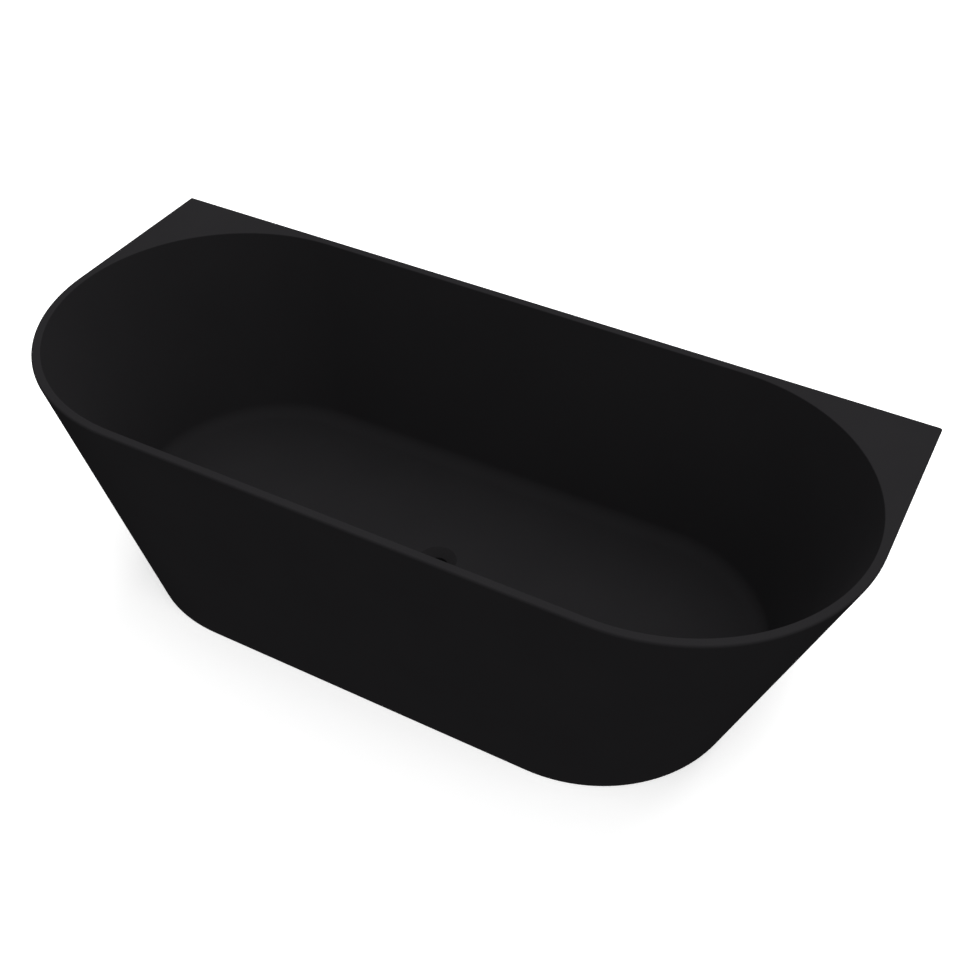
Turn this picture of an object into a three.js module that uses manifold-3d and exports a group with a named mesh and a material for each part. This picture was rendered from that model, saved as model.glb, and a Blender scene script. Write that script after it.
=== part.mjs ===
// Back-to-wall freestanding bathtub: an acrylic tub and a tapered outer skirt, on a base board
// and a welded steel frame with six levelling feet, and a recessed centre waste with a lifting plug.
// Millimetres, +Z up. The origin is on the floor below the drain, at the middle of the length and
// width. The flat back that goes to the wall faces +Y, and the rounded front faces -Y.
import * as THREE from 'three';
import { mergeVertices } from 'three/addons/utils/BufferGeometryUtils.js';
import Module from 'manifold-3d';

const wasm = await Module();
wasm.setup();

// Overall size and the two outlines of the skirt
const LENGTH = 1800;
const WIDTH = 800;
const HEIGHT = 570;
const BASE_LENGTH = 1400;
const BASE_FRONT = 320;
const BACK = WIDTH / 2;

// Tub
const RIM_WIDTH = 18;
const RIM_THICKNESS = 6;
const RIM_ROUND = 4.5;
const SHELL_THICKNESS = 6;
const BASIN_LENGTH = 1464;
const BASIN_WIDTH = 604;
const BASIN_FILLET = 35;
const FLOOR_EDGE = 130;
const FLOOR_DRAIN = 127;
const SHELL_UNDERSIDE = 119;

// Skirt
const SKIRT_THICKNESS = 4;
const ACCESS_WIDTH = 520;
const ACCESS_HEIGHT = 260;
const ACCESS_CORNER = 40;
const DECK_BOARD = 12;

// Base board and frame
const BOARD_THICKNESS = 17.7;
const BOARD_LENGTH = 1380;
const BOARD_WIDTH = 560;
const RAIL = 30;
const RAIL_WALL = 2;
const RAIL_LENGTH = 1240;
const RAIL_Y = 150;
const CROSS_X = [-500, -110, 110, 500];
const RAIL_BOLT_X = [-580, -250, 250, 580];
const FOOT_X = { left: -500, middle: 0, right: 500 };
const FOOT_Y = { front: -RAIL_Y, rear: RAIL_Y };

// Skirt brackets
const BRACKET_WIDTH = 40;
const BRACKET_STEEL = 3;
const BRACKET_DROP = 38;
const BRACKET_START_Y = 235;
const BRACKET_START_X = 635;

// Feet
const ROD_RADIUS = 6;
const ROD_HOLE = 6.5;
const ROD_TOP = 96;
const NUT_HEIGHT = 10;
const NUT_ACROSS_FLATS = 19;
const PAD_RADIUS = 27;
const PAD_HEIGHT = 20;
const PAD_SOCKET_FLOOR = 6;

// Waste
const RECESS_RADIUS = 42;
const THROAT_RADIUS = 22;
const THROAT_TOP = 113;
const TAIL_RADIUS = 23.9;
const TAIL_BOTTOM = 50;
const SHELL_HOLE = 26;
const SEAT_TOP = 107;
const CUP_RADIUS = 41;
const LEDGE_TOP = 85.2;
const LEDGE_BOTTOM = 81;
const LEDGE_RADIUS = 18;
const STEM_RADIUS = 4;

// Small clearances between pieces that touch
const GAP = 0.3;

// Numbers of facets
const CORNER_SEGMENTS = 16;
const ROUND = 32;
const SMALL_ROUND = 16;
const TINY_ROUND = 12;

const BOARD_TOP = SHELL_UNDERSIDE - GAP;
const BOARD_UNDERSIDE = BOARD_TOP - BOARD_THICKNESS;
const FRAME_TOP = BOARD_UNDERSIDE - GAP;
const FRAME_UNDERSIDE = FRAME_TOP - RAIL;
const RIM_UNDERSIDE = HEIGHT - RIM_THICKNESS;
const END_SLOPE = lean(BASE_LENGTH / 2, LENGTH / 2);
const FRONT_SLOPE = lean(BASE_FRONT, WIDTH / 2);

const FINISHES = {
  shell: { color: 0x1d1d1f, roughness: 0.62, metalness: 0 },
  board: { color: 0xa9865b, roughness: 0.8, metalness: 0 },
  frame: { color: 0x8d9092, roughness: 0.45, metalness: 0.8 },
  fixing: { color: 0xb5b3ab, roughness: 0.35, metalness: 0.9 },
  pad: { color: 0x2a2a2c, roughness: 0.75, metalness: 0 },
  waste: { color: 0x1b1b1d, roughness: 0.5, metalness: 0.4 },
  rubber: { color: 0x141414, roughness: 0.9, metalness: 0 },
  nylon: { color: 0xd9d7cf, roughness: 0.6, metalness: 0 },
  spring: { color: 0xc4c6c8, roughness: 0.25, metalness: 1 },
};

// ---- Geometry helpers ----

// Keeps positions only, merges shared corners, drops empty triangles and turns the faces outward.
function closed(geometry) {
  const bare = geometry.clone();
  for (const key of Object.keys(bare.attributes)) {
    if (key !== 'position') bare.deleteAttribute(key);
  }
  bare.clearGroups();
  const merged = mergeVertices(bare, 1e-4);
  const index = merged.index.array;
  const point = (i) => new THREE.Vector3().fromBufferAttribute(merged.attributes.position, i);
  const triangles = [];
  let volume = 0;
  for (let i = 0; i < index.length; i += 3) {
    const [a, b, c] = [index[i], index[i + 1], index[i + 2]];
    if (a === b || b === c || c === a) continue;
    triangles.push(a, b, c);
    volume += point(a).dot(point(b).cross(point(c)));
  }
  if (volume < 0) triangles.reverse();
  merged.setIndex(triangles);
  return merged;
}

function toSolid(geometry) {
  const mesh = closed(geometry);
  return new wasm.Manifold(new wasm.Mesh({
    numProp: 3,
    vertProperties: new Float32Array(mesh.attributes.position.array),
    triVerts: new Uint32Array(mesh.index.array),
  }));
}

function toGeometry(solid) {
  const mesh = solid.getMesh();
  const geometry = new THREE.BufferGeometry();
  geometry.setAttribute('position', new THREE.BufferAttribute(new Float32Array(mesh.vertProperties), 3));
  geometry.setIndex(Array.from(mesh.triVerts));
  return geometry;
}

function join(...geometries) {
  return toGeometry(geometries.map(toSolid).reduce((whole, piece) => whole.add(piece)));
}

function cut(body, ...tools) {
  return toGeometry(tools.map(toSolid).reduce((whole, tool) => whole.subtract(tool), toSolid(body)));
}

// Turned piece about Z from [radius, height] pairs.
function turned(profile, segments = ROUND) {
  const points = profile.map(([radius, height]) => new THREE.Vector2(radius, height));
  return closed(new THREE.LatheGeometry(points, segments).rotateX(Math.PI / 2));
}

// Turned ring about Z: the profile closes on itself.
function turnedRing(profile, segments = ROUND) {
  return turned([...profile, profile[0]], segments);
}

function disc(radius, bottom, top, segments = ROUND) {
  return turned([[0, bottom], [radius, bottom], [radius, top], [0, top]], segments);
}

function washer(inner, outer, bottom, top, segments = ROUND) {
  return turnedRing([[inner, bottom], [outer, bottom], [outer, top], [inner, top]], segments);
}

function hexagon(acrossFlats, bottom, top) {
  return disc(acrossFlats / Math.sqrt(3), bottom, top, 6);
}

// Closed solid through rings of points, lowest ring first, each ring counterclockwise from above.
function loft(rings) {
  const count = rings[0].length;
  const positions = rings.flat();
  const triangles = [];
  for (let ring = 0; ring + 1 < rings.length; ring += 1) {
    for (let i = 0; i < count; i += 1) {
      const next = (i + 1) % count;
      const low = ring * count;
      const high = low + count;
      triangles.push(low + i, low + next, high + next, low + i, high + next, high + i);
    }
  }
  const last = (rings.length - 1) * count;
  for (let i = 1; i + 1 < count; i += 1) {
    triangles.push(0, i + 1, i, last, last + i, last + i + 1);
  }
  const geometry = new THREE.BufferGeometry();
  geometry.setAttribute('position', new THREE.Float32BufferAttribute(positions.flat(), 3));
  geometry.setIndex(triangles);
  return geometry;
}

function arc(centreX, centreY, radius, from, to) {
  return Array.from({ length: CORNER_SEGMENTS + 1 }, (_, i) => {
    const angle = from + ((to - from) * i) / CORNER_SEGMENTS;
    return [centreX + radius * Math.cos(angle), centreY + radius * Math.sin(angle)];
  });
}

function stadium(halfLength, halfWidth) {
  const centre = halfLength - halfWidth;
  const quarter = Math.PI / 2;
  return [
    ...arc(centre, 0, halfWidth, -quarter, 0),
    ...arc(centre, 0, halfWidth, 0, quarter).slice(1),
    ...arc(-centre, 0, halfWidth, quarter, 2 * quarter),
    ...arc(-centre, 0, halfWidth, 2 * quarter, 3 * quarter).slice(1),
  ];
}

// Outline with two square rear corners and two quarter-round front ones centred on the X axis.
function backedOutline(halfLength, front, back) {
  const centre = halfLength - front;
  const quarter = Math.PI / 2;
  return [
    [halfLength, back],
    [-halfLength, back],
    ...arc(-centre, 0, front, 2 * quarter, 3 * quarter),
    ...arc(centre, 0, front, 3 * quarter, 4 * quarter),
  ];
}

const atHeight = (outline, z) => outline.map(([x, y]) => [x, y, z]);

// Slope of an outer face that leaves the floor at base and whose rounded top edge reaches overall.
function lean(base, overall) {
  let slope = (overall - base) / HEIGHT;
  for (let pass = 0; pass < 8; pass += 1) {
    slope = (overall - base + RIM_ROUND * (slope + Math.hypot(1, slope) - 1)) / HEIGHT;
  }
  return slope;
}

// Ring of the outer surface at height z, moved in by inset measured square to the faces.
function skirtRing(z, inset = 0) {
  const halfLength = BASE_LENGTH / 2 + END_SLOPE * z - inset * Math.hypot(1, END_SLOPE);
  const front = BASE_FRONT + FRONT_SLOPE * z - inset * Math.hypot(1, FRONT_SLOPE);
  return atHeight(backedOutline(halfLength, front, BACK - inset), z);
}

// Ring of the rim's edge, rounded at the front and ends and square at the back, a depth below its top.
function rimRing(depth) {
  const lift = Math.sqrt(RIM_ROUND ** 2 - (RIM_ROUND - depth) ** 2);
  const inset = (slope) => RIM_ROUND * (slope + Math.hypot(1, slope)) - lift;
  const halfLength = BASE_LENGTH / 2 + END_SLOPE * HEIGHT - inset(END_SLOPE);
  const front = BASE_FRONT + FRONT_SLOPE * HEIGHT - inset(FRONT_SLOPE);
  return atHeight(backedOutline(halfLength, front, BACK), HEIGHT - depth);
}

// How far a filleted wall stands outside its lower corner at a height above the floor.
function wallOffset(height, slope, fillet) {
  const draft = Math.atan(slope);
  const tangentHeight = fillet * (1 - Math.sin(draft));
  if (height >= tangentHeight) return height * slope;
  const centre = (-fillet * (1 - Math.sin(draft))) / Math.cos(draft);
  return centre + Math.sqrt(fillet ** 2 - (fillet - height) ** 2);
}

// Rings of the basin surface, moved out by offset, from its floor up to height top.
function basinRings(offset, floor, top) {
  const rimHalfLength = LENGTH / 2 - RIM_WIDTH;
  const rimHalfWidth = WIDTH / 2 - RIM_WIDTH;
  const depth = HEIGHT - FLOOR_EDGE;
  const endSlope = (rimHalfLength - BASIN_LENGTH / 2) / depth;
  const sideSlope = (rimHalfWidth - BASIN_WIDTH / 2) / depth;
  const fillet = BASIN_FILLET + offset;
  const drop = FLOOR_EDGE - floor;
  const halfLength = BASIN_LENGTH / 2 + offset * Math.hypot(1, endSlope) - drop * endSlope;
  const halfWidth = BASIN_WIDTH / 2 + offset * Math.hypot(1, sideSlope) - drop * sideSlope;
  const tangent = (slope) => fillet * (1 - Math.sin(Math.atan(slope)));
  const low = [0, 0.05, 0.19, 0.41].map((share) => share * fillet);
  const heights = [...low, tangent(endSlope), tangent(sideSlope), top - floor];
  return heights.map((height) => atHeight(
    stadium(
      halfLength + wallOffset(height, endSlope, fillet),
      halfWidth + wallOffset(height, sideSlope, fillet),
    ),
    floor + height,
  ));
}

// Long bar along X or Y from a shape drawn across it.
function bar(shape, length, alongY = false) {
  const geometry = new THREE.ExtrudeGeometry(shape, { depth: length, bevelEnabled: false, curveSegments: 6 });
  geometry.translate(0, 0, -length / 2);
  const across = alongY ? new THREE.Vector3(-1, 0, 0) : new THREE.Vector3(0, 1, 0);
  const along = alongY ? new THREE.Vector3(0, 1, 0) : new THREE.Vector3(1, 0, 0);
  return geometry.applyMatrix4(new THREE.Matrix4().makeBasis(across, new THREE.Vector3(0, 0, 1), along));
}

function slab(outline, bottom, top) {
  const shape = new THREE.Shape(outline.map(([x, y]) => new THREE.Vector2(x, y)));
  return new THREE.ExtrudeGeometry(shape, { depth: top - bottom, bevelEnabled: false }).translate(0, 0, bottom);
}

const moved = (geometry, x, y, z = 0) => geometry.clone().translate(x, y, z);

// ---- The model ----

const bathtub = new THREE.Group();

function addPart(name, geometry, finish, parent = bathtub) {
  const mesh = new THREE.Mesh(closed(geometry), new THREE.MeshStandardMaterial(FINISHES[finish]));
  mesh.geometry.computeVertexNormals();
  mesh.name = name;
  parent.add(mesh);
  return mesh;
}

// Tub: rim plate, tapered vessel and drain cup in one moulding.
function innerShell() {
  const rim = loft([
    skirtRing(RIM_UNDERSIDE),
    rimRing(RIM_ROUND),
    rimRing(RIM_ROUND * (1 - Math.SQRT1_2)),
    rimRing(0),
  ]);
  const vessel = loft(basinRings(SHELL_THICKNESS, SHELL_UNDERSIDE, RIM_UNDERSIDE + 1));
  const cup = disc(CUP_RADIUS, BOARD_UNDERSIDE, SHELL_UNDERSIDE + 1);
  const drainFlat = atHeight(stadium(3 * RECESS_RADIUS, 1.5 * RECESS_RADIUS), FLOOR_DRAIN);
  const basin = loft([drainFlat, ...basinRings(0, FLOOR_EDGE, HEIGHT + 1)]);
  const recess = turned([
    [0, FLOOR_DRAIN + 1],
    [RECESS_RADIUS, FLOOR_DRAIN + 1],
    [RECESS_RADIUS, FLOOR_DRAIN - 2.6],
    [RECESS_RADIUS - 6, FLOOR_DRAIN - 7.4],
    [RECESS_RADIUS - 6, SEAT_TOP],
    [SHELL_HOLE, SEAT_TOP],
    [SHELL_HOLE, BOARD_UNDERSIDE - 1],
    [0, BOARD_UNDERSIDE - 1],
  ]);
  addPart('inner_shell', cut(join(rim, vessel, cup), basin, recess), 'shell');
}

// Skirt: one tapered closed ring from the floor to the rim, with a service opening low in its back.
function outerSkirt() {
  const top = RIM_UNDERSIDE - GAP;
  const outside = loft([skirtRing(0), skirtRing(top)]);
  const inside = loft([skirtRing(-1, SKIRT_THICKNESS), skirtRing(top + 1, SKIRT_THICKNESS)]);
  const half = ACCESS_WIDTH / 2;
  const opening = new THREE.Shape();
  opening.moveTo(-half, -1);
  opening.lineTo(half, -1);
  opening.lineTo(half, ACCESS_HEIGHT - ACCESS_CORNER);
  opening.absarc(half - ACCESS_CORNER, ACCESS_HEIGHT - ACCESS_CORNER, ACCESS_CORNER, 0, Math.PI / 2);
  opening.absarc(ACCESS_CORNER - half, ACCESS_HEIGHT - ACCESS_CORNER, ACCESS_CORNER, Math.PI / 2, Math.PI);
  const access = moved(bar(opening, 4 * SKIRT_THICKNESS, true), 0, BACK);
  addPart('outer_skirt', cut(outside, inside, access), 'shell');
}

// Stiffening boards glued under the two rear corners of the rim, where taps stand.
function deckBoards() {
  const vesselClearance = 12;
  const [from, to] = [Math.PI * (110 / 180), Math.PI * (160 / 180)];
  const centre = (LENGTH - WIDTH) / 2;
  const edge = arc(-centre, 0, WIDTH / 2 - RIM_WIDTH + vesselClearance, from, to);
  const side = -(LENGTH / 2 - SKIRT_THICKNESS - 7.5);
  const back = BACK - SKIRT_THICKNESS - 2 * GAP;
  const outline = [...edge, [side, edge.at(-1)[1]], [side, back], [edge[0][0], back]];
  const mirrored = outline.map(([x, y]) => [-x, y]).reverse();
  const top = RIM_UNDERSIDE - GAP;
  addPart('rear_deck_board_left', slab(outline, top - DECK_BOARD, top), 'board');
  addPart('rear_deck_board_right', slab(mirrored, top - DECK_BOARD, top), 'board');
}

function squareTube() {
  const square = (half) => [[-half, -half], [half, -half], [half, half], [-half, half]]
    .map(([x, y]) => new THREE.Vector2(x, y));
  const shape = new THREE.Shape(square(RAIL / 2));
  shape.holes.push(new THREE.Path(square(RAIL / 2 - RAIL_WALL).reverse()));
  return shape;
}

const RAIL_BOLT_RADIUS = 4;
const RAIL_BOLT_TOP = BOARD_UNDERSIDE + 11;

function railBoltHole(x, y) {
  return moved(disc(RAIL_BOLT_RADIUS + 0.6, FRAME_UNDERSIDE - 1, RAIL_BOLT_TOP + GAP, SMALL_ROUND), x, y);
}

// Rails carry a welded nut under each foot position.
function frameRails() {
  const height = FRAME_TOP - RAIL / 2;
  for (const [side, y] of Object.entries(FOOT_Y)) {
    const tube = moved(bar(squareTube(), RAIL_LENGTH), 0, y, height);
    const rodHoles = Object.values(FOOT_X).map((x) => moved(
      disc(ROD_HOLE, FRAME_UNDERSIDE - NUT_HEIGHT - 1, FRAME_UNDERSIDE + RAIL_WALL + 1, SMALL_ROUND), x, y));
    const boltHoles = RAIL_BOLT_X.map((x) => railBoltHole(x, y));
    const nuts = Object.values(FOOT_X).map((x) => moved(
      hexagon(NUT_ACROSS_FLATS, FRAME_UNDERSIDE - NUT_HEIGHT, FRAME_UNDERSIDE), x, y));
    addPart(`frame_rail_${side}`, cut(join(tube, ...nuts), ...rodHoles, ...boltHoles), 'frame');
  }
}

function frameCrossMembers() {
  const names = ['left', 'middle_left', 'middle_right', 'right'];
  const length = 2 * (RAIL_Y - RAIL / 2 - GAP);
  CROSS_X.forEach((x, i) => {
    const tube = moved(bar(squareTube(), length, true), x, 0, FRAME_TOP - RAIL / 2);
    addPart(`frame_cross_${names[i]}`, tube, 'frame');
  });
}

function railBolts() {
  const headHeight = 4;
  const head = hexagon(13, FRAME_UNDERSIDE - GAP - headHeight, FRAME_UNDERSIDE - GAP);
  const shank = disc(RAIL_BOLT_RADIUS, FRAME_UNDERSIDE - GAP - 1, RAIL_BOLT_TOP, TINY_ROUND);
  const bolt = join(head, shank);
  for (const [side, y] of Object.entries(FOOT_Y)) {
    RAIL_BOLT_X.forEach((x, i) => addPart(`rail_bolt_${side}_${i + 1}`, moved(bolt, x, y), 'fixing'));
  }
}

// Angle brackets from the base board out to the inside of the skirt. Each one is drawn reaching
// along +X and turned to its side; slope is how the skirt leans outward with height there.
const BRACKETS = [
  { name: 'front_left', turn: -90, along: -330, start: BRACKET_START_Y, wall: BASE_FRONT, slope: FRONT_SLOPE },
  { name: 'front_right', turn: -90, along: 330, start: BRACKET_START_Y, wall: BASE_FRONT, slope: FRONT_SLOPE },
  { name: 'rear_left', turn: 90, along: 400, start: BRACKET_START_Y, wall: BACK, slope: 0 },
  { name: 'rear_right', turn: 90, along: -400, start: BRACKET_START_Y, wall: BACK, slope: 0 },
  { name: 'end_left', turn: 180, along: -80, start: BRACKET_START_X, wall: BASE_LENGTH / 2, slope: END_SLOPE },
  { name: 'end_right', turn: 0, along: 80, start: BRACKET_START_X, wall: BASE_LENGTH / 2, slope: END_SLOPE },
];
const BRACKET_SCREW_IN = 16;
const BRACKET_SCREW_RADIUS = 2.5;
const BRACKET_SCREW_TOP = BOARD_UNDERSIDE + 12;

function placed(geometry, { turn, along }) {
  return geometry.clone().translate(0, along, 0).rotateZ(THREE.MathUtils.degToRad(turn));
}

function bracketScrewHole({ start }) {
  const hole = disc(BRACKET_SCREW_RADIUS + 0.5, FRAME_TOP - 8, BRACKET_SCREW_TOP + GAP, TINY_ROUND);
  return moved(hole, start + BRACKET_SCREW_IN, 0);
}

function bracketBody({ start, wall, slope }) {
  const face = (z) => wall + slope * z - SKIRT_THICKNESS * Math.hypot(1, slope) - GAP;
  const [top, low, bottom] = [FRAME_TOP, FRAME_TOP - BRACKET_STEEL, FRAME_TOP - BRACKET_DROP];
  const thick = BRACKET_STEEL * Math.hypot(1, slope);
  const shape = new THREE.Shape([
    [start, low], [face(low) - thick, low], [face(bottom) - thick, bottom],
    [face(bottom), bottom], [face(top), top], [start, top],
  ].map(([x, z]) => new THREE.Vector2(x, z)));
  const geometry = new THREE.ExtrudeGeometry(shape, { depth: BRACKET_WIDTH, bevelEnabled: false });
  return geometry.translate(0, 0, -BRACKET_WIDTH / 2).rotateX(Math.PI / 2);
}

function skirtBrackets() {
  for (const bracket of BRACKETS) {
    const body = cut(bracketBody(bracket), bracketScrewHole(bracket));
    addPart(`skirt_bracket_${bracket.name}`, placed(body, bracket), 'frame');
  }
}

function bracketScrews() {
  const under = FRAME_TOP - BRACKET_STEEL - GAP;
  const screw = turned([
    [0, under - 3], [3.6, under - 3], [5, under - 1.6], [5, under],
    [BRACKET_SCREW_RADIUS, under], [BRACKET_SCREW_RADIUS, BRACKET_SCREW_TOP - 3], [0, BRACKET_SCREW_TOP],
  ], 10);
  for (const bracket of BRACKETS) {
    const screwInPlace = placed(moved(screw, bracket.start + BRACKET_SCREW_IN, 0), bracket);
    addPart(`bracket_screw_${bracket.name}`, screwInPlace, 'fixing');
  }
}

function baseBoard() {
  const board = slab(stadium(BOARD_LENGTH / 2, BOARD_WIDTH / 2), BOARD_UNDERSIDE, BOARD_TOP);
  const cupHole = disc(CUP_RADIUS + 3, BOARD_UNDERSIDE - 1, BOARD_TOP + 1);
  const railHoles = Object.values(FOOT_Y).flatMap((y) => RAIL_BOLT_X.map((x) => railBoltHole(x, y)));
  const screwHoles = BRACKETS.map((bracket) => placed(bracketScrewHole(bracket), bracket));
  addPart('base_board', cut(board, cupHole, ...railHoles, ...screwHoles), 'board');
}

// One levelling foot: a lock nut under the rail's welded nut, a threaded rod with a spanner
// collar, and a pad that the rod turns in. It stands fully screwed in.
function levellingFoot(place, x, y) {
  const foot = new THREE.Group();
  foot.position.set(x, y, 0);
  bathtub.add(foot);
  const lockTop = FRAME_UNDERSIDE - NUT_HEIGHT - GAP;
  const lockBottom = lockTop - NUT_HEIGHT;
  const rodHole = disc(ROD_HOLE, lockBottom - 1, lockTop + 1, SMALL_ROUND);
  const lockNut = cut(hexagon(NUT_ACROSS_FLATS, lockBottom, lockTop), rodHole);
  addPart(`lock_nut_${place}`, lockNut, 'fixing', foot);
  const rod = disc(ROD_RADIUS, PAD_SOCKET_FLOOR + GAP, ROD_TOP, TINY_ROUND);
  const collar = hexagon(NUT_ACROSS_FLATS - 2, lockBottom - 11, lockBottom - 2);
  addPart(`foot_rod_${place}`, join(rod, collar), 'fixing', foot);
  const pad = turned([
    [0, 0], [PAD_RADIUS - 1, 0], [PAD_RADIUS, 1], [PAD_RADIUS, 6], [14, 14], [11, PAD_HEIGHT],
    [ROD_RADIUS + 0.8, PAD_HEIGHT], [ROD_RADIUS + 0.8, PAD_SOCKET_FLOOR], [0, PAD_SOCKET_FLOOR],
  ], 20);
  addPart(`foot_pad_${place}`, pad, 'pad', foot);
}

function levellingFeet() {
  for (const [side, y] of Object.entries(FOOT_Y)) {
    for (const [end, x] of Object.entries(FOOT_X)) levellingFoot(`${side}_${end}`, x, y);
  }
}

// Waste: a dished flange and threaded tail in one, seals and back nut that clamp it to the tub,
// and a cross that carries the plug's click cartridge.
function waste() {
  const edge = RECESS_RADIUS - GAP;
  const neck = RECESS_RADIUS - 7;
  addPart('waste_body', turnedRing([
    [THROAT_RADIUS, THROAT_TOP],
    [THROAT_RADIUS, LEDGE_TOP],
    [LEDGE_RADIUS, LEDGE_TOP],
    [LEDGE_RADIUS, LEDGE_BOTTOM],
    [LEDGE_RADIUS + 2, LEDGE_BOTTOM],
    [LEDGE_RADIUS + 2, TAIL_BOTTOM],
    [TAIL_RADIUS, TAIL_BOTTOM],
    [TAIL_RADIUS, SEAT_TOP + 3.3],
    [neck, SEAT_TOP + 3.3],
    [neck, FLOOR_DRAIN - 6.8],
    [edge, FLOOR_DRAIN - 1.8],
    [edge, FLOOR_DRAIN],
  ]), 'waste');
  addPart('waste_flange_gasket', washer(TAIL_RADIUS + 0.4, neck, SEAT_TOP + GAP, SEAT_TOP + 3), 'rubber');
  const under = BOARD_UNDERSIDE - GAP;
  addPart('waste_lower_seal', washer(TAIL_RADIUS + 0.5, 38, under - 2.8, under), 'rubber');
  addPart('waste_slip_washer', washer(TAIL_RADIUS + 0.5, 38, under - 4.6, under - 3.1), 'nylon');
  const nutTop = under - 4.9;
  const nut = join(disc(31, nutTop - 12, nutTop, 8), disc(35, nutTop - 3, nutTop));
  addPart('waste_back_nut', cut(nut, disc(TAIL_RADIUS + 0.5, nutTop - 13, nutTop + 1)), 'waste');
  const hubTop = LEDGE_BOTTOM - 2;
  const hubBottom = hubTop - 7;
  const arm = new THREE.BoxGeometry(2 * (LEDGE_RADIUS + 1.6), 3, 5).translate(0, 0, hubTop - 3);
  const cross = join(disc(8, hubBottom, hubTop, SMALL_ROUND), arm, arm.clone().rotateZ(Math.PI / 2));
  addPart('waste_cross', cut(cross, disc(STEM_RADIUS + 0.6, hubBottom - 1, hubTop + 1, SMALL_ROUND)), 'waste');
  addPart('plug_cartridge', washer(STEM_RADIUS + 0.6, 7, hubBottom - 16, hubBottom - GAP, SMALL_ROUND), 'nylon');
}

// Plug: head with a seal ring that sits on the ledge in the throat, stem, and lifting spring.
function plug() {
  const seat = LEDGE_TOP + GAP;
  const headBottom = seat + 0.4;
  const headTop = headBottom + 5.2;
  addPart('plug_head', turned([
    [0, headBottom], [16.8, headBottom], [16.8, headBottom + 2.7], [20.6, headBottom + 2.7],
    [20.6, headTop - 1], [19.2, headTop], [0, headTop + 0.6],
  ]), 'waste');
  const ringRadius = 1.25;
  const ring = new THREE.TorusGeometry(18.5, ringRadius, 6, 24).translate(0, 0, seat + ringRadius + 0.1);
  addPart('plug_seal_ring', ring, 'rubber');
  const hubTop = LEDGE_BOTTOM - 2;
  addPart('plug_stem', disc(STEM_RADIUS, hubTop - 21, headBottom - GAP, SMALL_ROUND), 'spring');
  addPart('plug_spring', helix(6.3, 0.55, 3, hubTop + GAP, headBottom - GAP), 'spring');
}

// Round wire coiled about Z between two heights.
function helix(radius, wire, turns, bottom, top) {
  const stepsPerTurn = 12;
  const rise = top - bottom - 2 * wire;
  const count = turns * stepsPerTurn;
  const points = Array.from({ length: count + 1 }, (_, i) => {
    const angle = (2 * Math.PI * i) / stepsPerTurn;
    return new THREE.Vector3(
      radius * Math.cos(angle),
      radius * Math.sin(angle),
      bottom + wire + (rise * i) / count,
    );
  });
  const section = new THREE.Shape();
  section.absarc(0, 0, wire, 0, 2 * Math.PI);
  const extrudePath = new THREE.CatmullRomCurve3(points);
  return new THREE.ExtrudeGeometry(section, { steps: count, curveSegments: 3, extrudePath });
}

innerShell();
outerSkirt();
deckBoards();
baseBoard();
frameRails();
frameCrossMembers();
railBolts();
skirtBrackets();
bracketScrews();
levellingFeet();
waste();
plug();

export default bathtub;
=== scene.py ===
"""Looks of a matte-black back-to-wall freestanding bathtub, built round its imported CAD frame."""

import math

import bmesh
import bpy
from mathutils import Matrix, Vector


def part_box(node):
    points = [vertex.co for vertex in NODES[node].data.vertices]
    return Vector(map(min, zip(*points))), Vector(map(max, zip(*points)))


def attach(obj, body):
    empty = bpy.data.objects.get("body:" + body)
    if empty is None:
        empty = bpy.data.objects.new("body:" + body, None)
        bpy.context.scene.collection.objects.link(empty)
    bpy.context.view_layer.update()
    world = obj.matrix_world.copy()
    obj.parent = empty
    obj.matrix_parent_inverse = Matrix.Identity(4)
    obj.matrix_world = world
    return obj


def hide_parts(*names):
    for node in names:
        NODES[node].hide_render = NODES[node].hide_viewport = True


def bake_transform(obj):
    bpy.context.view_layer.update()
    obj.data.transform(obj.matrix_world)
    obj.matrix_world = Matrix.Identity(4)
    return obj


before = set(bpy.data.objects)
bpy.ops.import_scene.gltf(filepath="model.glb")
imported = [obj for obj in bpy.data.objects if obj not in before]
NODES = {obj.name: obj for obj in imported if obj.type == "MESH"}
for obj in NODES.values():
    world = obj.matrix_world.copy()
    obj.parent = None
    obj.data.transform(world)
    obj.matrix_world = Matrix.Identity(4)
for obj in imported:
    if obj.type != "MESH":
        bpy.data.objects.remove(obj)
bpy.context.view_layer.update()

# Outside of the bath, in metres
RIM_LOW, RIM_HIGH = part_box("inner_shell")
HALF_LENGTH = RIM_HIGH.x
BACK = RIM_HIGH.y
FRONT = -RIM_LOW.y
HEIGHT = RIM_HIGH.z
BASE_HALF_LENGTH = 0.700
BASE_FRONT = 0.320
REAR_CORNER = 0.001
SKIRT = 0.004
SKIRT_EDGE = 0.0008

# Rim and basin
RIM_WIDTH = 0.018
RIM_THICKNESS = 0.006
RIM_OUTER_FILLET = 0.0045
RIM_BACK_FILLET = 0.0008
RIM_INNER_FILLET = 0.002
SHELL = 0.006
BASIN_HALF_LENGTH = 0.732
BASIN_HALF_WIDTH = 0.302
BASIN_FILLET = 0.035
FLOOR_EDGE = 0.130
FLOOR_DRAIN = 0.127
SHELL_UNDERSIDE = 0.119
TOP_HALF_LENGTH = HALF_LENGTH - RIM_WIDTH
TOP_HALF_WIDTH = BACK - RIM_WIDTH
BASIN_END_SLOPE = (TOP_HALF_LENGTH - BASIN_HALF_LENGTH) / (HEIGHT - FLOOR_EDGE)
BASIN_SIDE_SLOPE = (TOP_HALF_WIDTH - BASIN_HALF_WIDTH) / (HEIGHT - FLOOR_EDGE)

# Drain
RECESS_RADIUS = 0.042
RECESS_FOOT = 0.036
CUP_RADIUS = 0.041
CUP_BOTTOM = RIM_LOW.z
SEAT_TOP = 0.107
SHELL_HOLE = 0.026

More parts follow.
